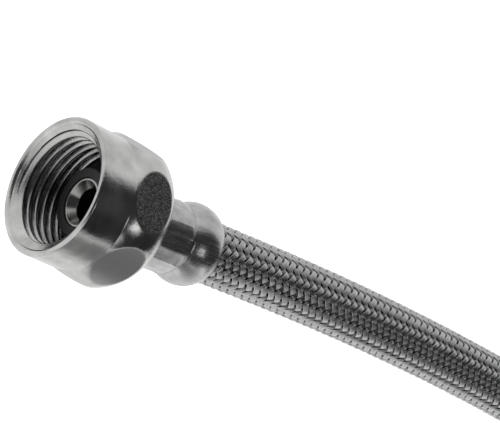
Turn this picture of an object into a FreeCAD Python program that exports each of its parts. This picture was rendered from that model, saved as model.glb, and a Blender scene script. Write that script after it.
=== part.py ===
import FreeCAD
import Part
import Sketcher
import math
import os

# A braided supply line: a 7/8 inch ballcock nut at one end, a 3/8 inch compression nut at the
# other, and a braided hose between them. Millimetres. The ballcock nut's axis is the X axis, its
# thread starts at X = 0 and its mouth faces -X, and +Z is up. The line lies on a surface at
# Z = -nut_flat. Every fitting is drawn along its own X axis, from the mouth of its nut inwards.

# ---- driving dimensions -------------------------------------------------------------------------
DIMENSIONS = {
    # hose: a rubber tube in a stainless steel braid
    "hose_r": 6.0,
    "braid_thick": 0.5,
    "braid_gap": 0.05,
    "tube_bore_r": 3.75,
    # ballcock nut: round collar, domed barrel with six flats, 7/8-14 thread
    "mouth_r": 12.5,
    "mouth_deep": 1.2,
    "thread_r": 10.2,
    "thread_end": 6.8,
    "cavity_r": 10.45,
    "cavity_end": 16.1,
    "collar_r": 13.3,
    "collar_edge": 0.4,
    "barrel_start": 8.2,
    "barrel_arc": 8.2,
    "barrel_end": 20.1,
    "barrel_end_r": 9.8,
    "nut_end": 20.5,
    "nut_end_r": 9.2,
    "nut_flat": 13.4,
    "flat_cut_reach": 20.0,
    # both nuts turn on the same shank; the ballcock nut hangs askew on its own, by this angle
    # about a point this far inside its mouth
    "shank_r": 4.6,
    "shank_gap": 0.4,
    "nut_droop": 2.9,
    "droop_centre": 18.3,
    # ballcock nipple and cone washer
    "nose_start": 7.25,
    "nose_r": 4.7,
    "nose_edge_r": 4.25,
    "bore_r": 3.1,
    "sink_deep": 1.6,
    "flange_start": 13.8,
    "flange_end": 15.3,
    "flange_r": 8.6,
    "washer_start": 7.0,
    "washer_face_r": 6.5,
    "washer_cone_end": 12.0,
    "washer_r": 9.8,
    # valve nut: collar and hexagon, 9/16-24 thread
    "valve_mouth_r": 7.6,
    "valve_mouth_deep": 0.9,
    "valve_thread_r": 6.65,
    "valve_thread_end": 4.9,
    "valve_cavity_r": 6.9,
    "valve_cavity_end": 10.9,
    "valve_collar_r": 8.4,
    "valve_hex_start": 4.2,
    "valve_hex_bevel": 0.6,
    "valve_hex_edge_r": 9.1,
    "valve_hex_r": 10.1,
    "valve_nut_end": 13.9,
    "valve_flat": 8.75,
    # valve nipple and cone washer
    "valve_nose_start": 5.2,
    "valve_nose_r": 3.4,
    "valve_nose_edge_r": 3.1,
    "valve_bore_r": 2.6,
    "valve_sink_deep": 0.8,
    "valve_flange_start": 9.5,
    "valve_flange_end": 10.7,
    "valve_flange_r": 6.3,
    "valve_washer_start": 5.9,
    "valve_washer_face_r": 4.4,
    "valve_washer_cone_end": 8.4,
    "valve_washer_r": 6.5,
    # barbs and crimp ferrule, the same at both ends; lengths count from the ferrule's front
    "ferrule_front": 21.15,
    "valve_ferrule_front": 14.4,
    "lip_thick": 1.1,
    "barb_lead": 2.0,
    "barb_pitch": 2.8,
    "barb_r": 4.05,
    "barb_tip_r": 3.4,
    "barb_tip_run": 1.5,
    "crimp_r": 7.15,
    "crimp_edge": 0.6,
    "crimp_end": 7.35,
    "waist_run": 1.3,
    "waist_r": 6.85,
    "bulge_arc": 5.8,
    "bulge_hollow_start": 10.4,
    "bulge_hollow_end": 13.2,
    "hollow_slope": 2.0,
    "hollow_r": 7.0,
    "ferrule_end": 15.85,
    "ferrule_end_r": 6.75,
}
BARBS = 4
FLATS = 6

# The hose's route, from its end in the ballcock ferrule to its end in the valve ferrule. It rises
# a little with the ferrule, bends down until it lies on the surface and comes up to the smaller
# nut's height.
ROUTE = [
    (21.045, 0.0, 0.2),
    (56.0, 0.0, 1.971),
    (97.0, 0.6, 2.41),
    (138.0, 1.0, 1.0),
    (178.0, 0.6, -3.2),
    (216.0, -1.8, -8.3),
    (252.0, -4.0, -4.65),
    (288.3, -4.0, -4.65),
]
ARC_SHARE = 0.45  # of the shorter run, from a route point to the start of its arc
VOLUME_TOLERANCE = 0.002

doc = FreeCAD.newDocument("supply_line")
sheet = doc.addObject("Spreadsheet::Sheet", "Dims")
for row, (alias, number) in enumerate(DIMENSIONS.items(), start=1):
    sheet.set(f"A{row}", alias)
    sheet.set(f"B{row}", str(number))
    sheet.setAlias(f"B{row}", alias)
doc.recompute()


def value(sum_of_cells):
    """The number that a sum such as "nut_end - collar_edge" stands for."""
    total, sign = 0.0, 1
    for word in sum_of_cells.split():
        if word in "+-":
            sign = 1 if word == "+" else -1
        else:
            total += sign * float(sheet.get(word))
    return total


def bound(sum_of_cells):
    """The same sum as an expression on the sheet."""
    return " ".join(w if w in "+-" else f"Dims.{w}" for w in sum_of_cells.split())


# ---- sketches and bodies ------------------------------------------------------------------------
def origin_item(body, role):
    return next(item for item in body.Origin.OriginFeatures if item.Role == role)


def new_sketch(body, name, plane):
    sketch = body.newObject("Sketcher::SketchObject", name)
    sketch.AttachmentSupport = (origin_item(body, plane), [""])
    sketch.MapMode = "FlatFace"
    return sketch


def fix_point(sketch, edge, end, across, up):
    """Hold one end of a sketch edge at a place given as two sums of cells, or "0"."""
    for kind, axis, where in (("DistanceX", -2, across), ("DistanceY", -1, up)):
        if where == "0":
            sketch.addConstraint(Sketcher.Constraint("PointOnObject", edge, end, axis))
            continue
        index = sketch.addConstraint(Sketcher.Constraint(kind, -1, 1, edge, end, value(where)))
        sketch.setExpression(f"Constraints[{index}]", bound(where))


def arc_between(start, finish, radius):
    """A convex arc from start to finish that bulges to the left of the way along it."""
    chord = finish - start
    half = chord.Length / 2
    side = FreeCAD.Vector(chord.y, -chord.x, 0).normalize()
    centre = (start + finish) / 2 + side * math.sqrt(radius**2 - half**2)
    angles = [math.atan2(p.y - centre.y, p.x - centre.x) for p in (finish, start)]
    return Part.ArcOfCircle(Part.Circle(centre, FreeCAD.Vector(0, 0, 1), radius), *angles)


def outline(sketch, points):
    """A closed outline. A point is (across, up), or (across, up, radius) where an arc reaches it,
    each a sum of cells; arcs bulge to the left of the way along the outline."""
    places = [FreeCAD.Vector(*(0 if w == "0" else value(w) for w in p[:2]), 0) for p in points]
    ends = []
    for i, place in enumerate(places):
        following = (i + 1) % len(points)
        if len(points[following]) == 3:
            arc = arc_between(place, places[following], value(points[following][2]))
            edge = sketch.addGeometry(arc)
            index = sketch.addConstraint(Sketcher.Constraint("Radius", edge, arc.Radius))
            sketch.setExpression(f"Constraints[{index}]", bound(points[following][2]))
            ends.append((edge, 2, 1))
        else:
            edge = sketch.addGeometry(Part.LineSegment(place, places[following]))
            ends.append((edge, 1, 2))
    for i, (edge, first, last) in enumerate(ends):
        following = ends[(i + 1) % len(ends)]
        sketch.addConstraint(Sketcher.Constraint("Coincident", edge, last, *following[:2]))
        fix_point(sketch, edge, first, *points[i][:2])


def turned_body(name, points):
    """A body of revolution about its own X axis."""
    body = doc.addObject("PartDesign::Body", name)
    sketch = new_sketch(body, f"{name}_outline", "XZ_Plane")
    outline(sketch, points)
    turned = body.newObject("PartDesign::Revolution", f"{name}_turned")
    turned.Profile = sketch
    turned.ReferenceAxis = (sketch, ["H_Axis"])
    turned.Angle = 360
    sketch.Visibility = False
    doc.recompute()
    return body


def cut_flats(body, flat):
    """Six flats around the X axis, one of them facing down."""
    before = body.Shape.Volume
    sketch = new_sketch(body, f"{body.Name}_flat_outline", "YZ_Plane")
    reach, top = value("flat_cut_reach"), -value(flat)
    places = ((-reach, -reach), (reach, -reach), (reach, top), (-reach, top))
    corners = [FreeCAD.Vector(across, up, 0) for across, up in places]
    for start, finish in zip(corners, corners[1:] + corners[:1]):
        sketch.addGeometry(Part.LineSegment(start, finish))
    for edge in range(4):
        sketch.addConstraint(Sketcher.Constraint("Coincident", edge, 2, (edge + 1) % 4, 1))
        sketch.addConstraint(Sketcher.Constraint("Vertical" if edge % 2 else "Horizontal", edge))
    for kind, edge, number, formula in (
        ("DistanceX", 0, -reach, "-Dims.flat_cut_reach"),
        ("DistanceY", 0, -reach, "-Dims.flat_cut_reach"),
        ("DistanceX", 2, reach, "Dims.flat_cut_reach"),
        ("DistanceY", 2, top, f"-Dims.{flat}"),
    ):
        index = sketch.addConstraint(Sketcher.Constraint(kind, -1, 1, edge, 1, number))
        sketch.setExpression(f"Constraints[{index}]", formula)
    doc.recompute()
    pocket = body.newObject("PartDesign::Pocket", f"{body.Name}_flat")
    pocket.Profile = sketch
    pocket.Type = "ThroughAll"
    pocket.Midplane = True
    around = body.newObject("PartDesign::PolarPattern", f"{body.Name}_flats")
    around.Originals = [pocket]
    around.Axis = (origin_item(body, "X_Axis"), [""])
    around.Angle = 360
    around.Occurrences = FLATS
    body.Tip = around
    sketch.Visibility = False
    doc.recompute()
    if body.Shape.Volume >= before:
        raise RuntimeError(f"{body.Name}: the flats cut nothing")


# ---- the fittings -------------------------------------------------------------------------------
def ballcock_nut():
    body = turned_body(
        "ballcock_nut",
        [
            ("0", "mouth_r"),
            ("0", "collar_r - collar_edge"),
            ("collar_edge", "collar_r"),
            ("barrel_start", "collar_r"),
            ("barrel_end", "barrel_end_r", "barrel_arc"),
            ("nut_end", "nut_end_r"),
            ("nut_end", "shank_r + shank_gap"),
            ("cavity_end", "shank_r + shank_gap"),
            ("cavity_end", "cavity_r"),
            ("thread_end", "cavity_r"),
            ("thread_end", "thread_r"),
            ("mouth_deep", "thread_r"),
        ],
    )
    cut_flats(body, "nut_flat")
    return body


def valve_nut():
    body = turned_body(
        "valve_nut",
        [
            ("0", "valve_mouth_r"),
            ("0", "valve_collar_r - collar_edge"),
            ("collar_edge", "valve_collar_r"),
            ("valve_hex_start", "valve_collar_r"),
            ("valve_hex_start", "valve_hex_edge_r"),
            ("valve_hex_start + valve_hex_bevel", "valve_hex_r"),
            ("valve_nut_end - valve_hex_bevel", "valve_hex_r"),
            ("valve_nut_end", "valve_hex_edge_r"),
            ("valve_nut_end", "shank_r + shank_gap"),
            ("valve_cavity_end", "shank_r + shank_gap"),
            ("valve_cavity_end", "valve_cavity_r"),
            ("valve_thread_end", "valve_cavity_r"),
            ("valve_thread_end", "valve_thread_r"),
            ("valve_mouth_deep", "valve_thread_r"),
        ],
    )
    cut_flats(body, "valve_flat")
    return body


def cone_washer(name, cells):
    """A rubber cone washer on the nipple's nose, its small end towards the mouth."""
    return turned_body(
        f"{name}_washer",
        [
            (f"{cells}washer_start", f"{cells}nose_r"),
            (f"{cells}washer_start", f"{cells}washer_face_r"),
            (f"{cells}washer_cone_end", f"{cells}washer_r"),
            (f"{cells}flange_start", f"{cells}washer_r"),
            (f"{cells}flange_start", f"{cells}nose_r"),
        ],
    )


def nipple(name, cells):
    """A nose with a countersunk bore, a flange that holds the nut, a shank and a barbed tail."""
    tail = f"{cells}ferrule_front + lip_thick"
    points = [
        (f"{cells}nose_start", f"{cells}nose_edge_r"),
        (f"{cells}nose_start", f"{cells}nose_r"),
        (f"{cells}flange_start", f"{cells}nose_r"),
        (f"{cells}flange_start", f"{cells}flange_r"),
        (f"{cells}flange_end", f"{cells}flange_r"),
        (f"{cells}flange_end", "shank_r"),
        (tail, "shank_r"),
        (tail, "tube_bore_r"),
        (f"{tail} + barb_lead", "tube_bore_r"),
    ]
    place = f"{tail} + barb_lead"
    for barb in range(BARBS):
        points.append((place, "barb_r"))
        place += " + barb_pitch"
        if barb < BARBS - 1:
            points.append((place, "tube_bore_r"))
    points += [
        (place, "tube_bore_r"),
        (f"{place} + barb_tip_run", "barb_tip_r"),
        (f"{place} + barb_tip_run", f"{cells}bore_r"),
        (f"{cells}nose_start + {cells}sink_deep", f"{cells}bore_r"),
    ]
    return turned_body(f"{name}_nipple", points)


def ferrule(name, cells):
    """A crimped sleeve: a lip on the shank, a crimped front, a waist and an uncrimped bulge."""
    front = f"{cells}ferrule_front"
    return turned_body(
        f"{name}_ferrule",
        [
            (front, "shank_r"),
            (front, "crimp_r - crimp_edge"),
            (f"{front} + crimp_edge", "crimp_r"),
            (f"{front} + crimp_end", "crimp_r"),
            (f"{front} + crimp_end + waist_run", "waist_r"),
            (f"{front} + ferrule_end", "ferrule_end_r", "bulge_arc"),
            (f"{front} + ferrule_end", "hose_r + braid_gap"),
            (f"{front} + bulge_hollow_end + hollow_slope", "hose_r + braid_gap"),
            (f"{front} + bulge_hollow_end", "hollow_r"),
            (f"{front} + bulge_hollow_start", "hollow_r"),
            (f"{front} + bulge_hollow_start - hollow_slope", "hose_r + braid_gap"),
            (f"{front} + lip_thick", "hose_r + braid_gap"),
            (f"{front} + lip_thick", "shank_r"),
        ],
    )


# ---- the hose -----------------------------------------------------------------------------------
def smooth_path(points):
    """Straight runs joined by tangent arcs, as one wire, with the arcs' radii."""
    nodes = [FreeCAD.Vector(*p) for p in points]
    edges, radii, reached = [], [], nodes[0]
    for before, corner, after in zip(nodes, nodes[1:], nodes[2:]):
        back, ahead = (before - corner), (after - corner)
        reach = ARC_SHARE * min(back.Length, ahead.Length)
        back.normalize()
        ahead.normalize()
        half_turn = (math.pi - back.getAngle(ahead)) / 2
        radius = reach / math.tan(half_turn)
        start, finish = corner + back * reach, corner + ahead * reach
        inward = (back + ahead).normalize()
        middle = corner + inward * (radius / math.cos(half_turn) - radius)
        edges.append(Part.LineSegment(reached, start).toShape())
        edges.append(Part.Arc(start, middle, finish).toShape())
        radii.append(radius)
        reached = finish
    edges.append(Part.LineSegment(reached, nodes[-1]).toShape())
    return Part.Wire(edges), radii


def swept(path, radius):
    """A solid round bar of this radius along the path."""
    start = path.Edges[0]
    circle = Part.Circle(start.valueAt(start.FirstParameter), start.tangentAt(start.FirstParameter), radius)
    return path.makePipeShell([Part.Wire(circle.toShape())], True, False)


def hollow_hose(name, path, outer, inner):
    """A hollow hose along the path, its volume compared with its section times its length."""
    piece = doc.addObject("Part::Feature", name)
    piece.Shape = swept(path, outer).cut(swept(path, inner))
    expected = math.pi * (outer**2 - inner**2) * path.Length
    if abs(piece.Shape.Volume / expected - 1) > VOLUME_TOLERANCE:
        raise RuntimeError(f"{name}: volume {piece.Shape.Volume:.1f} is not {expected:.1f}")
    return piece


def inner_tube(path, nipples):
    """The rubber tube, with the bite that the barbs of both nipples take out of its bore."""
    outer = value("hose_r - braid_thick - braid_gap")
    plain = hollow_hose("plain_tube", path, outer, value("tube_bore_r"))
    barbs = doc.addObject("Part::MultiFuse", "both_nipples")
    barbs.Shapes = nipples
    tube = doc.addObject("Part::Cut", "inner_tube")
    tube.Base = plain
    tube.Tool = barbs
    return tube


# ---- assembly -----------------------------------------------------------------------------------
path, radii = smooth_path(ROUTE)
ballcock_nipple = nipple("ballcock", "")
valve_nipple = nipple("valve", "valve_")
large_nut = ballcock_nut()
leaning_pieces = [cone_washer("ballcock", ""), ballcock_nipple, ferrule("ballcock", "")]
valve_pieces = [
    valve_nut(),
    cone_washer("valve", "valve_"),
    valve_nipple,
    ferrule("valve", "valve_"),
]

# the ballcock nut's mouth is in front of its thread, and the pieces in it lean up from its axis;
# the valve end's mouth faces +X, where its ferrule puts it past the end of the route
large_nut.setExpression("Placement.Base.x", "-Dims.mouth_deep")
droop_centre = FreeCAD.Vector(value("droop_centre"), 0, 0)
for piece in leaning_pieces:
    piece.Placement = FreeCAD.Placement(
        FreeCAD.Vector(-value("mouth_deep"), 0, 0),
        FreeCAD.Rotation(FreeCAD.Vector(0, -1, 0), value("nut_droop")),
        droop_centre,
    )
valve_mouth = ROUTE[-1][0] + value("valve_ferrule_front + lip_thick")
for piece in valve_pieces:
    piece.Placement = FreeCAD.Placement(
        FreeCAD.Vector(valve_mouth, *ROUTE[-1][1:]), FreeCAD.Rotation(FreeCAD.Vector(0, 0, 1), 180)
    )
doc.recompute()
nodes = [
    large_nut,
    *leaning_pieces,
    *valve_pieces,
    inner_tube(path, [ballcock_nipple, valve_nipple]),
    hollow_hose("braid_sleeve", path, value("hose_r"), value("hose_r - braid_thick")),
]
doc.recompute()

for item in doc.Objects:
    if {"Invalid", "Error"} & set(item.State):
        raise RuntimeError(f"{item.Name}: {item.State}")
os.makedirs("parts", exist_ok=True)
for node in nodes:
    node.Label = node.Name
    if node.Shape.isNull() or not node.Shape.isValid() or len(node.Shape.Solids) != 1:
        raise RuntimeError(f"{node.Name}: not one valid solid")
    node.Shape.exportStep(f"parts/{node.Label}.step")

mouth_to_mouth = valve_mouth + value("mouth_deep")
print("hose length", round(path.Length, 1), "mouth to mouth", round(mouth_to_mouth, 1))
print("arc radii", [round(r) for r in radii], "lowest centre", round(path.BoundBox.ZMin, 2))
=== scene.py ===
import math

import bmesh
import bpy
import numpy as np
from mathutils import Matrix, Vector


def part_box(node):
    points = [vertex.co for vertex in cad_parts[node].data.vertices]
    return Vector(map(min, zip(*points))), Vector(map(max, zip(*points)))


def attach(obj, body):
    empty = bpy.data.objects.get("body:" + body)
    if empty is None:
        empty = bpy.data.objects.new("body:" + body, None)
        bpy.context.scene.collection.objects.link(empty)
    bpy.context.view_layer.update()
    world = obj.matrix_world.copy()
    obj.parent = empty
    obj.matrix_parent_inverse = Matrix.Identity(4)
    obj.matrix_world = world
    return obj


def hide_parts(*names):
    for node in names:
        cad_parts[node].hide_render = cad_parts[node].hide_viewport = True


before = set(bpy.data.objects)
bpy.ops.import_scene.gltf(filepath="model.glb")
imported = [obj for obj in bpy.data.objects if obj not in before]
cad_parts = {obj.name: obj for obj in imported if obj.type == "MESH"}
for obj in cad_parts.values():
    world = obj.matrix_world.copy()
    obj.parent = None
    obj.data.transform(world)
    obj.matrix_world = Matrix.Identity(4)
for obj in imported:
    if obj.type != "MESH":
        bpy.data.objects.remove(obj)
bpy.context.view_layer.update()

# A braided supply line, in the row's frame: the ballcock nut's axis is X, its thread starts at the
# origin, its mouth faces -X and +Z is up. Lengths are in millimetres and go through MM where
# Blender needs metres.
MM = 0.001


def node_box(node):
    """Lowest and highest corner of a CAD node, in millimetres."""
    low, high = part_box(node)
    return np.array(low) / MM, np.array(high) / MM


# ---- driving dimensions --------------------------------------------------------------------------
NUT_LOW = node_box("ballcock_nut")[0]
FLOOR_Z = NUT_LOW[2]
NUT_FLAT = -FLOOR_Z  # from the axis to each of the ballcock nut's flats
VALVE_LOW, VALVE_HIGH = node_box("valve_nut")
VALVE_MIDDLE = (VALVE_LOW + VALVE_HIGH) / 2
VALVE_FLAT = (VALVE_HIGH[2] - VALVE_LOW[2]) / 2
SHANK_R = 4.6

# where each fitting's own axis starts, at its nut's mouth, and the way it points
BALLCOCK_END = Matrix.Translation((NUT_LOW[0], 0, 0))
LEAN, LEAN_FROM = math.radians(2.9), 18.3  # the shank points up, while the loose nut hangs level
LEANING_END = (
    BALLCOCK_END
    @ Matrix.Translation((LEAN_FROM, 0, 0))
    @ Matrix.Rotation(-LEAN, 4, "Y")
    @ Matrix.Translation((-LEAN_FROM, 0, 0))
)
VALVE_END = (
    Matrix.Translation((VALVE_HIGH[0], VALVE_MIDDLE[1], VALVE_MIDDLE[2]))
    @ Matrix.Rotation(math.pi, 4, "Z")
)

# the hose's route, the same points as the CAD tube's
ROUTE = [
    (21.045, 0.0, 0.2),
    (56.0, 0.0, 1.971),
    (97.0, 0.6, 2.41),
    (138.0, 1.0, 1.0),
    (178.0, 0.6, -3.2),
    (216.0, -1.8, -8.3),
    (252.0, -4.0, -4.65),
    (288.3, -4.0, -4.65),
]

# ---- camera --------------------------------------------------------------------------------------
LENS, SENSOR = 182.9, 36.0
AXIS_TO_VIEW = math.radians(49.77)  # between the nut's axis and the camera's line of sight
AXIS_IN_PICTURE = math.radians(26.36)  # the axis falls this far to the right, below level
ABOUT_AXIS = math.radians(6.26)  # how far the camera stands round the axis, up from level
MOUTH_DISTANCE = 455.0
MOUTH_LEFT, MOUTH_ABOVE = 35.20, 4.60  # of the line of sight


def make_camera():
    """A camera at the photograph's distance and angle, rolled as the photograph is."""
    across = Vector((0, -math.cos(ABOUT_AXIS), math.sin(ABOUT_AXIS)))
    above = Vector((0, math.sin(ABOUT_AXIS), math.cos(ABOUT_AXIS)))
    along = Vector((1, 0, 0))
    sight = math.cos(AXIS_TO_VIEW) * along - math.sin(AXIS_TO_VIEW) * across
    side = math.sin(AXIS_TO_VIEW) * along + math.cos(AXIS_TO_VIEW) * across
    right = math.cos(AXIS_IN_PICTURE) * side + math.sin(AXIS_IN_PICTURE) * above
    up = math.cos(AXIS_IN_PICTURE) * above - math.sin(AXIS_IN_PICTURE) * side
    to_mouth = MOUTH_DISTANCE * sight - MOUTH_LEFT * right + MOUTH_ABOVE * up
    place = BALLCOCK_END.translation - to_mouth
    data = bpy.data.cameras.new("camera")
    data.sensor_fit = "HORIZONTAL"
    data.sensor_width = SENSOR
    data.lens = LENS
    data.clip_start, data.clip_end = 0.01, 20
    camera = bpy.data.objects.new("camera", data)
    bpy.context.scene.collection.objects.link(camera)
    turn = Matrix((right, up, -sight)).transposed().to_4x4()
    camera.matrix_world = Matrix.Translation(place * MM) @ turn
    bpy.context.scene.camera = camera


# ---- meshes --------------------------------------------------------------------------------------
def mesh_object(name, points, quads, uv=None, at=None):
    """A mesh piece from an array of points in millimetres and an array of quads, moved by at."""
    points = np.asarray(points, float)
    if at is not None:
        points = points @ np.array(at.to_3x3()).T + np.array(at.translation)
    mesh = bpy.data.meshes.new(name)
    mesh.vertices.add(len(points))
    mesh.vertices.foreach_set("co", (points * MM).astype(np.float32).ravel())
    mesh.loops.add(quads.size)
    mesh.loops.foreach_set("vertex_index", quads.astype(np.int32).ravel())
    mesh.polygons.add(len(quads))
    mesh.polygons.foreach_set("loop_start", np.arange(0, quads.size, 4, dtype=np.int32))
    mesh.polygons.foreach_set("use_smooth", np.ones(len(quads), bool))
    if uv is not None:
        layer = mesh.uv_layers.new(name="surface")
        layer.data.foreach_set("uv", uv.astype(np.float32).ravel())
    mesh.update(calc_edges=True)
    mesh.validate()
    piece = bpy.data.objects.new(name, mesh)
    bpy.context.scene.collection.objects.link(piece)
    return piece


def grid_corners(rows, columns):
    """The row and column of each corner of the quads between rows x columns grid lines."""
    row, column = np.meshgrid(np.arange(rows), np.arange(columns), indexing="ij")
    corner_rows = np.stack([row, row, row + 1, row + 1], -1).reshape(-1, 4)
    corner_columns = np.stack([column, column + 1, column + 1, column], -1).reshape(-1, 4)
    return corner_rows, corner_columns


def set_values(piece, name, values):
    """Gives each of the piece's points a value that a material can read."""
    layer = piece.data.attributes.new(name, "FLOAT", "POINT")
    layer.data.foreach_set("value", np.asarray(values, np.float32).ravel())


def clean(piece, distance=1e-6):
    """Joins the piece's coincident points, drops empty faces and turns its faces outwards."""
    work = bmesh.new()
    work.from_mesh(piece.data)
    bmesh.ops.remove_doubles(work, verts=work.verts, dist=distance)
    bmesh.ops.dissolve_degenerate(work, edges=work.edges, dist=distance)
    bmesh.ops.recalc_face_normals(work, faces=work.faces)
    work.to_mesh(piece.data)
    work.free()


def rounded(corners, closed=True, steps=4, support=0.06):
    """An outline as points. A corner is (x, r) or (x, r, fillet radius). Each straight run beside
    a fillet gets a support point, so that smooth shading stays flat along it."""
    places = [np.array(c[:2], float) for c in corners]
    count = len(corners)
    out = []
    for i, here in enumerate(places):
        fillet = corners[i][2] if len(corners[i]) > 2 else 0
        if fillet <= 0 or (not closed and i in (0, count - 1)):
            out.append(here)
            continue
        back, ahead = places[i - 1] - here, places[(i + 1) % count] - here
        back_long, ahead_long = np.linalg.norm(back), np.linalg.norm(ahead)
        back, ahead = back / back_long, ahead / ahead_long
        half = math.acos(np.clip(back @ ahead, -1, 1)) / 2
        reach = min(fillet / math.tan(half), 0.45 * back_long, 0.45 * ahead_long)
        radius = reach * math.tan(half)
        centre = here + (back + ahead) / np.linalg.norm(back + ahead) * radius / math.sin(half)
        start, finish = here + back * reach - centre, here + ahead * reach - centre
        turn = math.pi - 2 * half
        sign = np.sign(start[0] * finish[1] - start[1] * finish[0])
        if back_long > 4 * support + reach:
            out.append(here + back * (reach + support))
        for k in range(steps + 1):
            cosine, sine = math.cos(sign * turn * k / steps), math.sin(sign * turn * k / steps)
            turned_x = start[0] * cosine - start[1] * sine
            turned_r = start[0] * sine + start[1] * cosine
            out.append(centre + [turned_x, turned_r])
        if ahead_long > 4 * support + reach:
            out.append(here + ahead * (reach + support))
    return np.array(out)


def arc(start, finish, radius, count):
    """Points along an arc from start to finish that bulges away from the axis."""
    start, finish = np.array(start, float), np.array(finish, float)
    half = np.linalg.norm(finish - start) / 2
    along = (finish - start) / (2 * half)
    outward = np.array([-along[1], along[0]])
    centre = (start + finish) / 2 - outward * math.sqrt(radius**2 - half**2)
    sweep = math.asin(half / radius)
    return [
        tuple(centre + radius * (outward * math.cos(a) + along * math.sin(a)))
        for a in np.linspace(-sweep, sweep, count)
    ]


def lengths_along(points):
    """How far along the line through the points each of them is."""
    return np.concatenate([[0], np.cumsum(np.linalg.norm(np.diff(points, axis=0), axis=1))])


def round_angles(around):
    """Equal steps of one turn."""
    return np.arange(around) * 2 * math.pi / around


def ring(x, r, angle):
    """Points round the X axis. Angle 0 is +Z and grows towards -Y."""
    return np.stack([x, -r * np.sin(angle), r * np.cos(angle)], -1).reshape(-1, 3)


def turned(name, outline, at, around=192, shape=None):
    """A closed piece of revolution about X from an outline of (x, r) points. shape(x, r, angle) may
    change the radius. Its UVs are millimetres round and along."""
    angle = round_angles(around)
    x = np.repeat(outline[:, :1], around, 1)
    r = np.repeat(outline[:, 1:], around, 1)
    if shape is not None:
        r = shape(x, r, np.broadcast_to(angle, x.shape))
    rows, columns = grid_corners(len(outline), around)
    quads = (rows % len(outline)) * around + columns % around
    reached = lengths_along(np.concatenate([outline, outline[:1]]))
    uv = np.stack([columns * 2 * math.pi / around * outline[:, 1].max(), reached[rows]], -1)
    piece = mesh_object(name, ring(x, r, angle), quads, uv, at)
    clean(piece)
    return piece


# ---- nuts ----------------------------------------------------------------------------------------
THREAD_SHIFT = 1.98  # pitches from a thread's first line to its mouth, from where its bands lie
ROOT_HALF, FLANK = 0.09, 0.33  # half the root's flat and one flank, in pitches
MOUTH_SLOPE = 1.4  # how fast the mouth narrows to the thread
# where the painted shade on the thread's crests and roots begins, and how far it takes to fade in
PAINTED_SHADE_FROM, PAINTED_SHADE_FADE = 0.38, 0.08  # of the way from a flank's middle to its crest or root
INCH = 25.4


def thread(start, end, pitch, crest_r, root_r, mouth_r, around, per_turn=20, run_out=0.9):
    """Points, quads and UVs of an internal helical thread from x = start to end, opened out at the
    mouth and run out to its root's radius at the inner end, and how far each point is on a crest or
    in a root, where painted shade darkens the thread."""
    first = start - THREAD_SHIFT * pitch
    turns = math.ceil((end - first) / pitch)
    lines = turns * per_turn + 1
    angle = round_angles(around)
    phase = np.arange(lines) / per_turn
    x = first + pitch * (phase[:, None] + angle[None, :] / (2 * math.pi))
    x = np.clip(x, start, end)
    rise = np.clip((np.abs(phase % 1.0 - 0.5) - ROOT_HALF) / FLANK, 0, 1)[:, None]
    r = root_r - (root_r - crest_r) * rise
    opened = mouth_r - MOUTH_SLOPE * (x - start)
    # painted shade on the crests and roots, standing in for the shade between the thread's turns
    painted_thread_shade = np.clip((np.abs(rise - 0.5) - PAINTED_SHADE_FROM) / PAINTED_SHADE_FADE, 0, 1) * (r >= opened)
    r = np.maximum(r, opened)
    r = np.maximum(r, crest_r + (root_r - crest_r) * (x - end + run_out) / run_out)
    r = np.where(x <= start, mouth_r, np.where(x >= end, root_r, r))
    rows, columns = grid_corners(lines - 1, around)
    over = np.minimum(rows + (columns == around) * per_turn, lines - 1)
    quads = over * around + columns % around
    along = first + pitch * (rows / per_turn + columns / around)
    uv = np.stack([columns * 2 * math.pi / around * crest_r, along], -1)
    return ring(x, r, angle), quads, uv, painted_thread_shade.ravel()


def soft_least(a, b, width):
    """The lesser of a and b, rounded where they cross."""
    mix = np.clip(0.5 + 0.5 * (b - a) / width, 0, 1)
    return b + (a - b) * mix - width * mix * (1 - mix)


FLATS = 6
ROUGH_FLATS = (1, 3, 5)  # every other flat is left as it was cut, the rest are smooth
FLAT_NEAR = 0.4  # where the outline lies further than this inside the flats, it isn't cut
FLAT_EDGE = 0.16  # how far the edge round a flat is rounded over
FLAT_FADE = 0.12  # how deep a cut is where a flat's own look is complete


def threaded_nut(name, outside, flat, flats_from, inside, at, around):
    """A nut with flats cut on its outside past flats_from, and a helical thread. outside is the
    outline from its mouth to the end of its cavity; inside is what thread() takes."""
    angle = round_angles(around)
    x = np.repeat(outside[:, :1], around, 1)
    r = np.repeat(outside[:, 1:], around, 1)
    step = 2 * math.pi / FLATS
    off_flat = (angle + step / 2) % step - step / 2
    plane = np.broadcast_to(flat / np.cos(off_flat), r.shape)
    cuts = (r > flat - FLAT_NEAR) & (x > flats_from)
    cut_r = np.where(cuts, soft_least(r, plane, FLAT_EDGE), r)
    rows, columns = grid_corners(len(outside) - 1, around)
    quads = rows * around + columns % around
    reached = lengths_along(outside)
    uv = np.stack([columns * 2 * math.pi / around * flat, reached[rows]], -1)
    thread_points, thread_quads, thread_uv, painted_thread_shade = thread(*inside, around)
    piece = mesh_object(
        name,
        np.concatenate([ring(x, cut_r, angle), thread_points]),
        np.concatenate([quads, thread_quads[:, ::-1] + x.size]),
        np.concatenate([uv.reshape(-1, 2), thread_uv[:, ::-1].reshape(-1, 2)]),
        at,
    )
    on_flat = np.clip((r - plane) / FLAT_FADE, 0, 1) * cuts
    rough = on_flat * np.isin(np.round(angle / step).astype(int) % FLATS, ROUGH_FLATS)
    off_thread, off_outside = np.zeros(x.size), np.zeros(len(thread_points))
    set_values(piece, "flat", np.concatenate([on_flat.ravel(), off_outside]))
    set_values(piece, "rough_flat", np.concatenate([rough.ravel(), off_outside]))
    set_values(piece, "thread", np.concatenate([off_thread, off_outside + 1]))
    # the painted shade on the thread's crests and roots, which the material reads
    set_values(piece, "painted_thread_shade", np.concatenate([off_thread, painted_thread_shade]))
    clean(piece)
    return piece


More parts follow.
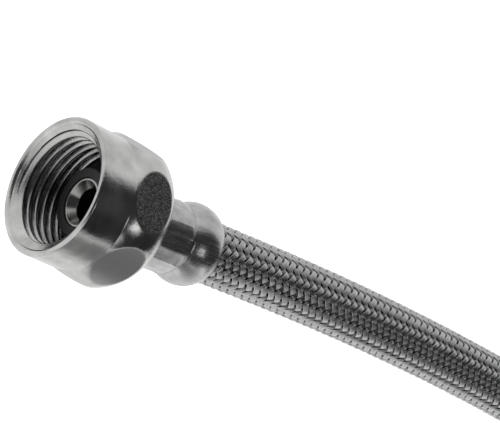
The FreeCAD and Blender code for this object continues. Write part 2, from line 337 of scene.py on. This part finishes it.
def ballcock_nut():
    """The large nut: a rounded lip, a round collar and a domed barrel with small oval flats."""
    mouth, deep, thread_end, root = 11.95, 0.5, 12.4, 11.25
    barrel = arc((8.2, 13.3), (20.1, 9.8), 8.2, 84)
    outside = np.concatenate([
        rounded(
            [
                (deep, mouth), (deep, mouth + 0.05), (deep - 0.13, mouth + 0.09), (0, 12.5, 0.3),
                (0, 13.1, 0.2), (0.3, 13.4, 0.22), (7.9, 13.3), (8.1, 13.3), (8.2, 13.3),
            ],
            closed=False,
        ),
        barrel[1:-1],
        rounded(
            [
                barrel[-1], (20.5, 9.2, 0.25), (20.5, 5.0, 0.2), (16.1, 5.0, 0.1),
                (16.1, root, 0.2), (thread_end, root),
            ],
            closed=False,
        ),
    ])
    inside = (deep, thread_end, INCH / 14, 10.2, root, mouth)
    return threaded_nut(
        "nut_large", outside, NUT_FLAT, flats_from=8.3, inside=inside, at=BALLCOCK_END, around=480
    )


def valve_nut():
    """The small nut: a short round collar and a plain hexagon."""
    mouth, thread_end, root, hexagon = 7.6, 8.6, 7.2, 10.1
    outside = np.concatenate([
        rounded(
            [
                (0, mouth), (0, 8.0, 0.2), (0.4, 8.4, 0.3), (4.2, 8.4, 0.12), (4.2, 9.1, 0.1),
                (4.8, hexagon),
            ],
            closed=False,
        ),
        [(x, hexagon) for x in np.linspace(5.2, 12.9, 24)],
        rounded(
            [
                (13.3, hexagon), (13.9, 9.1, 0.15), (13.9, 5.0, 0.2), (10.9, 5.0, 0.1),
                (10.9, root, 0.15), (thread_end, root),
            ],
            closed=False,
        ),
    ])
    inside = (0, thread_end, INCH / 24, 6.65, root, mouth)
    return threaded_nut(
        "nut_small", outside, VALVE_FLAT, flats_from=4.1, inside=inside, at=VALVE_END, around=384
    )


# ---- washers, nipples, ferrules ------------------------------------------------------------------
TAIL_R, TAIL_LONG = 3.75, 14.7
BARBS, BARB_R, BARB_LONG = 4, 4.05, 2.8
SLEEVE_R = 7.15
JAWS = 8  # of the tool that crimped the ferrules
FIRST_LINE = -0.35  # of a jaw's width, where the first line between two jaws lies
JAW_RISE, JAW_END, JAW_FADE = 0.9, 8.2, 1.5  # from the front: full depth, the end, the fade to it
PRESSED = 0.10  # how far the wall goes in under a jaw
FACET, RIDGE = 0.13, 0.09  # how far it comes back at a jaw's middle, and at the line between jaws
PINCH, PINCH_AT = 0.16, 7.6


def cone_washer(name, at, start, face_r, cone_end, rim_r, end, nose_r):
    """A rubber cone washer with a flat face."""
    bore = nose_r + 0.05
    outline = rounded([
        (start, bore, 0.12), (start, face_r, 0.3), (cone_end, rim_r, 0.4), (end, rim_r, 0.3),
        (end, bore, 0.1),
    ])
    return turned(name, outline, at, 160)


def nipple(name, at, nose, nose_r, edge_r, bore_r, sink, flange, flange_end, flange_r, tail):
    """A nose with a countersunk bore, a flange, a shank and a barbed tail inside the hose."""
    corners = [
        (nose + sink, bore_r, 0.25), (nose, edge_r, 0.08), (nose, nose_r, 0.16),
        (flange, nose_r, 0.1), (flange, flange_r, 0.15), (flange_end, flange_r, 0.15),
        (flange_end, SHANK_R, 0.1), (tail, SHANK_R, 0.1), (tail, TAIL_R, 0.1), (tail + 2, TAIL_R),
    ]
    for barb in range(BARBS):
        start = tail + 2 + BARB_LONG * barb
        corners += [(start, BARB_R), (start + BARB_LONG, TAIL_R)]
    corners += [(tail + TAIL_LONG, TAIL_R - 0.35, 0.1), (tail + TAIL_LONG, bore_r, 0.1)]
    return turned(name, rounded(corners), at, 144)


def crimped(x, r, angle, front):
    """Presses the ferrule's wall in under each of the crimping tool's jaws, which leaves a raised
    line between two jaws and a small pinch at the line's end."""
    jaw = 2 * math.pi / JAWS
    from_line = np.abs((angle - FIRST_LINE * jaw + jaw / 2) % jaw - jaw / 2) / (jaw / 2)
    u = x - front
    window = np.clip(u / JAW_RISE, 0, 1) * np.clip((JAW_END - u) / JAW_FADE, 0, 1)
    window = window * window * (3 - 2 * window)
    facet = FACET * from_line**2 * (1.3 - 0.3 * from_line)
    ridge = RIDGE * np.exp(-((from_line / 0.16) ** 2))
    pinch = PINCH * np.exp(-((from_line / 0.12) ** 2)) * np.exp(-(((u - PINCH_AT) / 0.4) ** 2))
    outside = r > SLEEVE_R - 0.55
    return r + outside * (window * (ridge - PRESSED + facet) + pinch)


def ferrule(name, at, front):
    """A thin sleeve, crimped over the nipple's tail and left bulging where the hose goes in."""
    bulge = arc((front + 8.65, 6.85), (front + 15.85, 6.75), 5.8, 26)
    outline = np.concatenate([
        rounded(
            [
                (front + 1.1, SHANK_R), (front, SHANK_R, 0.1), (front, 6.5, 0.3),
                (front + 0.6, SLEEVE_R, 0.3), (front + 1.4, SLEEVE_R),
            ],
            closed=False,
        ),
        [(front + u, SLEEVE_R) for u in np.linspace(1.9, 7.2, 14)],
        [(front + u, r) for u, r in ((7.5, 7.13), (7.8, 7.07), (8.1, 6.98), (8.4, 6.89))],
        bulge[:-1],
        rounded(
            [
                bulge[-1], (front + 16.0, 6.5, 0.1), (front + 15.85, 6.15, 0.06),
                (front + 15.2, 6.1, 0.1), (front + 13.2, 7.0, 0.2), (front + 10.4, 7.0, 0.2),
                (front + 8.4, 6.1, 0.2), (front + 1.1, 6.05, 0.1), (front + 1.1, SHANK_R),
            ],
            closed=False,
        )[:-1],
    ])
    return turned(name, outline, at, 288, lambda x, r, a: crimped(x, r, a, front))


# ---- hose ----------------------------------------------------------------------------------------
def route_curve(name):
    """The hose's centreline: one smooth spline whose control points are the route's."""
    data = bpy.data.curves.new(name, "CURVE")
    data.dimensions = "3D"
    data.resolution_u = 48
    spline = data.splines.new("NURBS")
    spline.points.add(len(ROUTE) - 1)
    for point, place in zip(spline.points, ROUTE):
        point.co = (*(Vector(place) * MM), 1)
    spline.order_u = 3
    spline.use_endpoint_u = True
    curve = bpy.data.objects.new(name, data)
    bpy.context.scene.collection.objects.link(curve)
    return curve


def centreline():
    """Points along the spline, in millimetres."""
    curve = route_curve("route")
    mesh = bpy.data.meshes.new_from_object(curve)
    points = np.array([v.co for v in mesh.vertices]) / MM
    bpy.data.meshes.remove(mesh)
    data = curve.data
    bpy.data.objects.remove(curve)
    bpy.data.curves.remove(data)
    return points


class Line:
    """A place and two directions across the hose at any distance along its centreline."""

    def __init__(self, points):
        self.points = points
        self.reached = lengths_along(points)
        self.length = self.reached[-1]
        ways = np.gradient(points, self.reached, axis=0)
        ways /= np.linalg.norm(ways, axis=1, keepdims=True)
        up = np.array([0, 0, 1.0]) - ways * ways[:, 2:]
        self.up = up / np.linalg.norm(up, axis=1, keepdims=True)
        self.side = np.cross(ways, self.up)

    def at(self, table, distance):
        return np.stack([np.interp(distance, self.reached, table[:, k]) for k in range(3)], -1)

    def place(self, distance, angle, radius):
        """Points at a distance along, an angle round and a radius out from the centreline."""
        upward = self.at(self.up, distance) * np.cos(angle)[..., None]
        sideways = self.at(self.side, distance) * np.sin(angle)[..., None]
        return self.at(self.points, distance) + (upward + sideways) * radius[..., None]


CARRIERS, LEAD = 12, 23.5  # bands each way round, and a band's advance in one turn
FIRST_BAND = math.radians(-7)
BAND_R, WEAVE = 5.85, 0.15  # the bands' middle radius, and how far they pass over and under
WIDTH_R = BAND_R + 0.05  # the radius at which the bands have their width
WIRES, WIRE_PITCH = 5, 0.245  # side by side in a band
WIRE_DOME = 0.6  # a wire's height over its round section's
CROWN = 0.10  # how far a band's outer wires lie below its middle ones
UNEVEN = 0.012  # how far a single wire may lie above or below its place
STRAND_STEP = 0.45  # between the points along a wire
END_GAP = 0.25  # from the bands' ends to the ends of the centreline, inside the ferrules


def braid(line, turn_sign, seed):
    """Half of the braid: the bands that wind one way round, each of parallel round wires."""
    chance = np.random.RandomState(seed)
    steep = math.atan2(2 * math.pi * WIDTH_R, LEAD)
    steps = int(line.length / math.cos(steep) / STRAND_STEP) + 1
    along = np.linspace(END_GAP, line.length - END_GAP, steps)
    side = np.array([-0.5, -0.3, 0, 0.3, 0.5]) * WIRE_PITCH
    dome = WIRE_DOME * np.sqrt(0.25 * WIRE_PITCH**2 - side**2)
    middles = (np.arange(WIRES) - (WIRES - 1) / 2) * WIRE_PITCH
    across = (middles[:, None] + side[None, :]).ravel()
    height = np.tile(dome, WIRES) - CROWN * (across / (WIRES / 2 * WIRE_PITCH)) ** 2
    turned_by = 2 * math.pi * along / LEAD
    lift = turn_sign * np.cos(CARRIERS * turned_by)

    def waver(height, long):
        return height * np.sin(along / long + chance.uniform(0, 6.28))

    points, tones, lifts = [], [], []
    for band in range(CARRIERS):
        middle = FIRST_BAND + turn_sign * turned_by + 2 * math.pi * band / CARRIERS
        wander = waver(0.05, 7.3) + waver(0.03, 2.9)
        slack = 1 + waver(0.10, 11.0)
        offset = across[None, :] + wander[:, None]
        z = along[:, None] - turn_sign * offset * math.sin(steep)
        angle = middle[:, None] + offset * math.cos(steep) / WIDTH_R
        wire_lift = np.repeat(chance.uniform(-UNEVEN, UNEVEN, WIRES), len(side))
        radius = BAND_R + WEAVE * slack[:, None] * lift[:, None] + (height + wire_lift)[None, :]
        points.append(line.place(np.clip(z, 0, line.length), angle, radius).reshape(-1, 3))
        tone = chance.uniform(0, 0.5) + np.repeat(chance.uniform(0, 0.5, WIRES), len(side))
        tones.append(np.tile(tone, steps))
        lifts.append(np.repeat(lift, len(across)))
    rows, cols = grid_corners(steps - 1, len(side) - 1)
    strip = rows * len(across) + cols
    if turn_sign > 0:
        strip = strip[:, ::-1]
    every = np.concatenate([
        strip + wire * len(side) + band * steps * len(across)
        for band in range(CARRIERS)
        for wire in range(WIRES)
    ])
    name = "braid_right" if turn_sign > 0 else "braid_left"
    piece = mesh_object(name, np.concatenate(points), every)
    set_values(piece, "tone", np.concatenate(tones))
    # how far each point passes over or under; the material paints shade where it dips under
    set_values(piece, "lift", np.concatenate(lifts))
    return piece


TUBE_RADII = 5.1, 4.1  # outer and inner


def hose_tube(line):
    """The rubber tube that shows between the braid's bands."""
    around, rows_along = 64, 260
    along = np.linspace(0, line.length, rows_along)
    distance = np.repeat(along[:, None], around, 1)
    angle = np.broadcast_to(round_angles(around), distance.shape)
    outer, inner = (line.place(distance, angle, np.full(angle.shape, r)) for r in TUBE_RADII)
    points = np.concatenate([outer, inner[::-1]]).reshape(-1, 3)
    rows, columns = grid_corners(2 * rows_along, around)
    quads = (rows % (2 * rows_along)) * around + columns % around
    piece = mesh_object("hose_tube", points, quads)
    clean(piece)
    return piece


# ---- materials -----------------------------------------------------------------------------------
RANGE_SOCKETS = "From Min", "From Max", "To Min", "To Max"


def set_range(node, *limits):
    """Sets a Map Range node, which carries low..high over to another low..high."""
    for socket, number in zip(RANGE_SOCKETS, limits):
        node.inputs[socket].default_value = number


class Surface:
    """A Principled material, with short calls for the nodes behind its colour and bump."""

    def __init__(self, name, metallic, rough, colour=(0.5, 0.5, 0.5)):
        self.material = bpy.data.materials.new(name)
        self.material.use_nodes = True
        self.nodes, self.links = self.material.node_tree.nodes, self.material.node_tree.links
        self.shader = self.nodes["Principled BSDF"]
        self.shader.inputs["Metallic"].default_value = metallic
        self.shader.inputs["Roughness"].default_value = rough
        self.shader.inputs["Base Color"].default_value = (*colour, 1)
        self.material.diffuse_color = (*colour, 1)

    def plug(self, value, socket):
        if isinstance(value, bpy.types.NodeSocket):
            self.links.new(value, socket)
        elif value is not None:
            socket.default_value = value

    def place(self, scale, source="Object"):
        """Coordinates stretched by scale, per metre on the object or per millimetre on its UVs."""
        start = self.nodes.new("ShaderNodeTexCoord")
        stretch = self.nodes.new("ShaderNodeMapping")
        stretch.inputs["Scale"].default_value = scale
        self.links.new(start.outputs[source], stretch.inputs["Vector"])
        return stretch.outputs["Vector"]

    def noise(self, where, scale=1.0, detail=2.0, rough=0.5):
        node = self.nodes.new("ShaderNodeTexNoise")
        self.links.new(where, node.inputs["Vector"])
        node.inputs["Scale"].default_value = scale
        node.inputs["Detail"].default_value = detail
        node.inputs["Roughness"].default_value = rough
        return node.outputs["Fac"]

    def attribute(self, name):
        node = self.nodes.new("ShaderNodeAttribute")
        node.attribute_name = name
        return node.outputs["Fac"]

    def spread(self, value, low, high, to_low=0.0, to_high=1.0):
        node = self.nodes.new("ShaderNodeMapRange")
        self.plug(value, node.inputs["Value"])
        set_range(node, low, high, to_low, to_high)
        return node.outputs["Result"]

    def axis(self, where, name):
        node = self.nodes.new("ShaderNodeSeparateXYZ")
        self.links.new(where, node.inputs["Vector"])
        return node.outputs[name]

    def sum(self, a, b, kind="ADD"):
        node = self.nodes.new("ShaderNodeMath")
        node.operation = kind
        self.plug(a, node.inputs[0])
        self.plug(b, node.inputs[1])
        return node.outputs["Value"]

    def mix(self, factor, a, b):
        """Between two greys, given as numbers or colours, by a factor."""
        node = self.nodes.new("ShaderNodeMix")
        node.data_type = "RGBA"
        self.plug(factor, node.inputs["Factor"])
        for value, socket in ((a, node.inputs["A"]), (b, node.inputs["B"])):
            self.plug((value, value, value, 1) if isinstance(value, float) else value, socket)
        return node.outputs["Result"]

    def colour(self, value):
        self.links.new(value, self.shader.inputs["Base Color"])

    def roughness(self, value):
        self.links.new(value, self.shader.inputs["Roughness"])

    def bump(self, height, distance, strength=1.0):
        node = self.nodes.new("ShaderNodeBump")
        node.inputs["Strength"].default_value = strength
        node.inputs["Distance"].default_value = distance
        self.links.new(height, node.inputs["Height"])
        self.links.new(node.outputs["Normal"], self.shader.inputs["Normal"])


def nut_material():
    """Nickel plate: clouded, pitted on the rough flats, with painted shade on the thread's crests
    and roots.
    """
    s = Surface("nickel_plate", 1.0, 0.2, (0.64, 0.64, 0.635))
    where = s.place((1000, 1000, 1000))
    cloudy = s.noise(where, 0.22, 3.0)
    uneven = s.noise(where, 0.30, 1.5)
    marks = s.noise(s.place((0.06, 9.0, 1.0), "UV"), 1.0, 3.0)
    rings = s.noise(s.place((0.03, 5.0, 1.0), "UV"), 1.0, 3.0)
    speck = s.noise(where, 3.2, 5.0, 0.7)
    flat, rough_flat = s.attribute("flat"), s.attribute("rough_flat")
    thread_part = s.attribute("thread")
    plain = s.mix(s.spread(cloudy, 0.3, 0.7), (0.47, 0.47, 0.465, 1), (0.72, 0.72, 0.71, 1))
    satin = s.mix(flat, plain, (0.46, 0.46, 0.46, 1))
    pitted = s.mix(s.spread(speck, 0.44, 0.66), (0.05, 0.05, 0.05, 1), (0.34, 0.34, 0.33, 1))
    outside = s.mix(rough_flat, satin, pitted)
    # painted shade: the thread's crests and roots go near black
    s.colour(s.mix(s.attribute("painted_thread_shade"), outside, (0.10, 0.10, 0.10, 1)))
    from_marks = s.spread(marks, 0.3, 0.7, 0.10, 0.20)
    smooth_rough = s.sum(from_marks, s.spread(cloudy, 0.35, 0.7, 0.0, 0.06))
    on_flats = s.sum(s.sum(flat, 0.16, "MULTIPLY"), s.sum(rough_flat, 0.10, "MULTIPLY"))
    s.roughness(s.sum(s.sum(smooth_rough, on_flats), s.sum(thread_part, 0.06, "MULTIPLY")))
    pits = s.sum(s.sum(rough_flat, s.spread(speck, 0.35, 0.65), "MULTIPLY"), 0.035, "MULTIPLY")
    turned_marks = s.sum(s.sum(thread_part, rings, "MULTIPLY"), 0.030, "MULTIPLY")
    grain = s.noise(where, 3.0, 4.0, 0.6)
    relief = s.sum(s.sum(uneven, 0.045, "MULTIPLY"), s.sum(marks, 0.003, "MULTIPLY"))
    grained = s.sum(grain, s.spread(cloudy, 0.35, 0.65, 0.01, 0.04), "MULTIPLY")
    relief = s.sum(relief, grained)
    s.bump(s.sum(s.sum(relief, pits), turned_marks), 0.001, 1.0)
    return s.material


def ferrule_material():
    """Thin drawn steel, slightly uneven, with faint marks along it."""
    s = Surface("ferrule_steel", 1.0, 0.2, (0.6, 0.6, 0.6))
    where = s.place((1000, 1000, 1000))
    cloudy, uneven = s.noise(where, 0.35, 3.0), s.noise(where, 0.45, 2.0)
    drawn = s.noise(s.place((3.0, 0.15, 1.0), "UV"), 1.0, 3.0)
    s.colour(s.mix(s.spread(cloudy, 0.3, 0.7), (0.42, 0.42, 0.42, 1), (0.64, 0.64, 0.64, 1)))
    s.roughness(s.spread(drawn, 0.3, 0.7, 0.20, 0.36))
    s.bump(s.sum(s.sum(uneven, 0.08, "MULTIPLY"), s.sum(drawn, 0.012, "MULTIPLY")), 0.001, 1.0)
    return s.material


def nipple_material():
    """Bright turned metal with faint rings."""
    s = Surface("nipple_metal", 1.0, 0.2, (0.45, 0.45, 0.44))
    marks = s.noise(s.place((0.1, 8.0, 1.0), "UV"), 1.0, 3.0)
    s.colour(s.mix(s.spread(marks, 0.3, 0.7), (0.36, 0.36, 0.35, 1), (0.50, 0.50, 0.49, 1)))
    s.roughness(s.spread(marks, 0.3, 0.7, 0.14, 0.26))
    s.bump(marks, 0.00002, 0.4)
    return s.material


def rubber_material(name, grey, rough):
    """Moulded rubber with a fine grain."""
    s = Surface(name, 0.0, rough, (grey, grey, grey))
    grain = s.noise(s.place((1000, 1000, 1000)), 5.0, 4.0, 0.6)
    s.colour(s.mix(s.spread(grain, 0.35, 0.65), grey * 0.7, grey * 1.35))
    s.roughness(s.spread(grain, 0.3, 0.7, rough - 0.08, rough + 0.08))
    s.bump(grain, 0.00005, 0.5)
    s.shader.inputs["Specular IOR Level"].default_value = 0.4
    return s.material


def braid_material():
    """Bright wires of unlike tones, with painted shade where a band passes under another."""
    s = Surface("braid_steel", 1.0, 0.2, (0.62, 0.62, 0.62))
    cloudy = s.noise(s.place((1000, 1000, 1000)), 0.9, 2.0)
    tone = s.sum(s.sum(s.attribute("tone"), 0.7, "MULTIPLY"), s.spread(cloudy, 0.3, 0.7, 0.0, 0.3))
    bright = s.mix(tone, (0.42, 0.42, 0.42, 1), (0.60, 0.60, 0.60, 1))
    # painted shade: the wires go near black where their band dips under the other family
    s.colour(s.mix(s.spread(s.attribute("lift"), -0.8, 0.0), (0.06, 0.06, 0.06, 1), bright))
    s.roughness(s.spread(tone, 0.0, 1.0, 0.20, 0.12))
    return s.material


# ---- light, floor and backdrop -------------------------------------------------------------------
def studio():
    """A white sweep behind the object, soft light above, and on the camera's side the darkness of
    the room with one soft lamp level with the object."""
    world = bpy.data.worlds.new("studio")
    bpy.context.scene.world = world
    world.use_nodes = True
    nodes, links = world.node_tree.nodes, world.node_tree.links
    place = nodes.new("ShaderNodeTexCoord")
    split = nodes.new("ShaderNodeSeparateXYZ")
    links.new(place.outputs["Generated"], split.inputs["Vector"])

    def math_node(kind, a, b):
        node = nodes.new("ShaderNodeMath")
        node.operation = kind
        for value, socket in ((a, node.inputs[0]), (b, node.inputs[1])):
            if isinstance(value, float):
                socket.default_value = value
            else:
                links.new(value, socket)
        return node.outputs["Value"]

    def range_node(value, low, high, to_low, to_high):
        node = nodes.new("ShaderNodeMapRange")
        node.interpolation_type = "SMOOTHSTEP"
        links.new(value, node.inputs["Value"])
        set_range(node, low, high, to_low, to_high)
        return node.outputs["Result"]

    lean = math_node("ADD", split.outputs["Y"], math_node("MULTIPLY", split.outputs["Z"], 0.62))
    lit = range_node(lean, -0.08, 0.24, 0.05, 1.0)
    level = range_node(split.outputs["Z"], 0.05, 0.75, 0.98, 0.74)
    near_horizon = range_node(split.outputs["Z"], 0.02, 0.25, 0.75, 1.0)
    strength = math_node("MULTIPLY", math_node("MULTIPLY", lit, level), near_horizon)
    wide = math_node("MULTIPLY", split.outputs["X"], 3.4)
    high = math_node("MULTIPLY", split.outputs["Z"], 4.6)
    squares = math_node("ADD", math_node("MULTIPLY", wide, wide), math_node("MULTIPLY", high, high))
    in_front = range_node(split.outputs["Y"], -0.6, -0.4, 1.0, 0.0)
    lamp = math_node("MULTIPLY", range_node(squares, 0.25, 1.2, 1.5, 0.0), in_front)
    strength = math_node("ADD", strength, lamp)
    background = nodes["Background"]
    background.inputs["Color"].default_value = (1, 1, 1, 1)
    links.new(strength, background.inputs["Strength"])


def camera_only(piece):
    """Keeps a piece of the studio out of reflections, light and shadows."""
    piece.visible_glossy = piece.visible_diffuse = False
    piece.visible_shadow = piece.visible_transmission = False


def plane(name, half, z, material, camera):
    """A square level sheet of the studio, seen only by the camera or only in reflections."""
    corners = [(-half, -half, z), (half, -half, z), (half, half, z), (-half, half, z)]
    sheet = mesh_object(name, corners, np.array([[0, 1, 2, 3]]))
    sheet.data.materials.append(material)
    sheet.visible_camera = camera
    if camera:
        camera_only(sheet)


def flat_material(name, grey, glow):
    """An even matt grey with a white glow."""
    material = bpy.data.materials.new(name)
    material.use_nodes = True
    shader = material.node_tree.nodes["Principled BSDF"]
    shader.inputs["Base Color"].default_value = (grey, grey, grey, 1)
    shader.inputs["Roughness"].default_value = 1.0
    shader.inputs["Specular IOR Level"].default_value = 0.0
    shader.inputs["Emission Color"].default_value = (1, 1, 1, 1)
    shader.inputs["Emission Strength"].default_value = glow
    return material


def table_material():
    """A painted glow seen only in reflections: painted light under and behind the object, a painted
    shadow in front of the large nut, and painted darkness past its edge.
    """
    s = Surface("table_painted_light", 0.0, 1.0, (0, 0, 0))
    s.shader.inputs["Specular IOR Level"].default_value = 0.0
    where = s.place((1000, 1000, 1000))
    x, y = s.axis(where, "X"), s.axis(where, "Y")
    # all of the table's brightness is a painted glow: a painted shadow in front of the large nut, a
    # painted bright strip, then painted darkness
    shaded = s.spread(y, -12.0, -8.0, 0.24, 0.92)
    near = s.sum(shaded, s.spread(x, -40.0, -12.0, 0.8, 1.0), "MULTIPLY")
    edge = s.spread(y, -19.5, -21.5, 0.0, 0.38)
    middle = s.sum(s.sum(near, edge), s.spread(y, -24.5, -26.5, 1.0, 0.05), "MULTIPLY")
    left = s.sum(s.spread(x, 2.0, -6.0, 0.0, 0.8), s.spread(y, -65.0, -50.0), "MULTIPLY")
    left = s.sum(left, s.spread(x, -40.0, -25.0, 0.3, 1.0), "MULTIPLY")
    right = s.sum(s.spread(x, 30.0, 48.0, 0.0, 0.85), s.spread(y, -34.0, -26.0), "MULTIPLY")
    right = s.sum(right, s.spread(x, 58.0, 68.0, 1.0, 0.0), "MULTIPLY")
    s.shader.inputs["Emission Color"].default_value = (1, 1, 1, 1)
    glow = s.sum(middle, s.sum(left, right, "MAXIMUM"), "MAXIMUM")
    s.links.new(glow, s.shader.inputs["Emission Strength"])
    return s.material


def table():
    """The camera sees an even white floor, the metal reflects one with painted light and shade."""
    bottom = FLOOR_Z - 0.05
    plane("floor", 3000, bottom, flat_material("floor_white", 0.35, 1.05), True)
    plane("table", 1500, bottom, table_material(), False)


def backdrop():
    """A white dome that only the camera sees."""
    bpy.ops.mesh.primitive_uv_sphere_add(segments=48, ring_count=24, radius=5)
    dome = bpy.context.object
    dome.name = "backdrop"
    glow = bpy.data.materials.new("backdrop_white")
    glow.use_nodes = True
    glow.node_tree.nodes.clear()
    emission = glow.node_tree.nodes.new("ShaderNodeEmission")
    emission.inputs["Strength"].default_value = 1.1
    output = glow.node_tree.nodes.new("ShaderNodeOutputMaterial")
    glow.node_tree.links.new(emission.outputs["Emission"], output.inputs["Surface"])
    dome.data.materials.append(glow)
    camera_only(dome)


# ---- the object ----------------------------------------------------------------------------------
def stands_for(piece, node, material):
    """Puts a material on a piece that takes a CAD node's place."""
    piece.data.materials.append(material)
    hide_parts(node)


make_camera()
nickel, sheet_steel, nose_metal = nut_material(), ferrule_material(), nipple_material()
washer_rubber = rubber_material("washer_rubber", 0.014, 0.42)
tube_rubber = rubber_material("tube_rubber", 0.012, 0.6)
wire_steel = braid_material()

large_nut, small_nut = ballcock_nut(), valve_nut()
stands_for(large_nut, "ballcock_nut", nickel)
stands_for(small_nut, "valve_nut", nickel)
large_washer = cone_washer(
    "washer_large", LEANING_END,
    start=7.0, face_r=6.5, cone_end=12.0, rim_r=9.8, end=13.8, nose_r=4.7,
)
small_washer = cone_washer(
    "washer_small", VALVE_END,
    start=5.9, face_r=4.4, cone_end=8.4, rim_r=6.5, end=9.5, nose_r=3.4,
)
stands_for(large_washer, "ballcock_washer", washer_rubber)
stands_for(small_washer, "valve_washer", washer_rubber)
large_nipple = nipple(
    "nipple_large", LEANING_END,
    nose=7.25, nose_r=4.7, edge_r=4.25, bore_r=3.1, sink=1.6,
    flange=13.8, flange_end=15.3, flange_r=8.6, tail=22.25,
)
small_nipple = nipple(
    "nipple_small", VALVE_END,
    nose=5.2, nose_r=3.4, edge_r=3.1, bore_r=2.6, sink=0.8,
    flange=9.5, flange_end=10.7, flange_r=6.3, tail=15.5,
)
stands_for(large_nipple, "ballcock_nipple", nose_metal)
stands_for(small_nipple, "valve_nipple", nose_metal)
large_ferrule = ferrule("ferrule_large", LEANING_END, front=21.15)
small_ferrule = ferrule("ferrule_small", VALVE_END, front=14.4)
stands_for(large_ferrule, "ballcock_ferrule", sheet_steel)
stands_for(small_ferrule, "valve_ferrule", sheet_steel)

line = Line(centreline())
right_bands, left_bands = braid(line, 1, 11), braid(line, -1, 12)
tube = hose_tube(line)
stands_for(right_bands, "braid_sleeve", wire_steel)
left_bands.data.materials.append(wire_steel)
stands_for(tube, "inner_tube", tube_rubber)

for piece in (
    large_washer, large_nipple, large_ferrule, right_bands, left_bands, tube,
    small_washer, small_nipple, small_ferrule,
):
    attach(piece, "hose")
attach(large_nut, "ballcock_nut")
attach(small_nut, "valve_nut")

studio()
table()
backdrop()
bpy.context.scene.view_settings.view_transform = "Standard"
